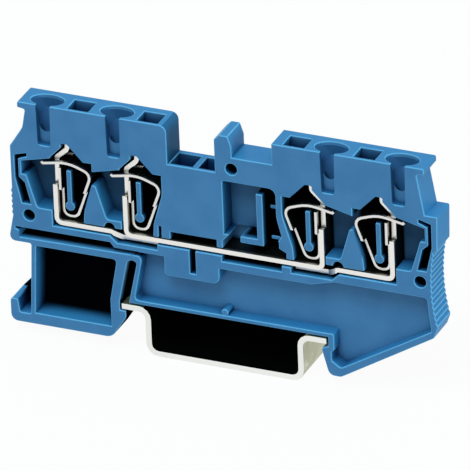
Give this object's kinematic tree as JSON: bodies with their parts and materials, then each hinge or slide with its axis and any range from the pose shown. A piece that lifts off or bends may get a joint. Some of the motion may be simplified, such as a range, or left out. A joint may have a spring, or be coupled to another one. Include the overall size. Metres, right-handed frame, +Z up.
{
  "type": "din rail terminal block",
  "caption": "Blue feed-through terminal block with spring clamps and a sprung latch foot, open side showing, snapped on a short top-hat rail.",
  "frame": {"origin": "under the middle of the rail, on the surface that the rail's base stands on", "axes": "+X along the block's length, to the right in the picture; +Y along the rail, away from the open side; +Z up"},
  "size_m": [0.0738, 0.02, 0.0415],
  "materials": {
    "blue_polyamide": "satin moulded",
    "tinned_copper": "tin plated",
    "spring_steel": "bright strip",
    "zinc_steel": "zinc plated"
  },
  "bodies": {
    "rail": {"din_rail": "zinc_steel"},
    "block": {"housing": "blue_polyamide", "left_outer_current_bar": "tinned_copper", "inner_current_bar": "tinned_copper", "right_outer_current_bar": "tinned_copper", "spring_1_fixed_leg": "spring_steel", "spring_2_fixed_leg": "spring_steel", "spring_3_fixed_leg": "spring_steel", "spring_4_fixed_leg": "spring_steel"},
    "foot": {"latch_foot": "blue_polyamide"},
    "clamp_1": {"spring_1_clamp_leg": "spring_steel"},
    "clamp_2": {"spring_2_clamp_leg": "spring_steel"},
    "clamp_3": {"spring_3_clamp_leg": "spring_steel"},
    "clamp_4": {"spring_4_clamp_leg": "spring_steel"}
  },
  "joints": [
    {"name": "rail_slide", "type": "slide", "parent": "rail", "child": "block", "axis": [0, 1, 0], "range_m": [0, 0.0148]},
    {"name": "foot_flex", "type": "hinge", "parent": "block", "child": "foot", "pos_m": [-0.0153, -0.0074, 0.01698], "axis": [0, 1, 0], "range_deg": [0, 5], "stiffness_Nm_per_rad": 0.02},
    {"name": "clamp_1_flex", "type": "hinge", "parent": "block", "child": "clamp_1", "pos_m": [-0.02605, -0.00785, 0.02315], "axis": [0, -1, 0], "range_deg": [0, 8], "stiffness_Nm_per_rad": 0.02},
    {"name": "clamp_2_flex", "type": "hinge", "parent": "block", "child": "clamp_2", "pos_m": [-0.01415, -0.00785, 0.02295], "axis": [0, -1, 0], "range_deg": [0, 8], "stiffness_Nm_per_rad": 0.02},
    {"name": "clamp_3_flex", "type": "hinge", "parent": "block", "child": "clamp_3", "pos_m": [0.01515, -0.00785, 0.02295], "axis": [0, 1, 0], "range_deg": [0, 8], "stiffness_Nm_per_rad": 0.02},
    {"name": "clamp_4_flex", "type": "hinge", "parent": "block", "child": "clamp_4", "pos_m": [0.02705, -0.00785, 0.02315], "axis": [0, 1, 0], "range_deg": [0, 8], "stiffness_Nm_per_rad": 0.02}
  ]
}
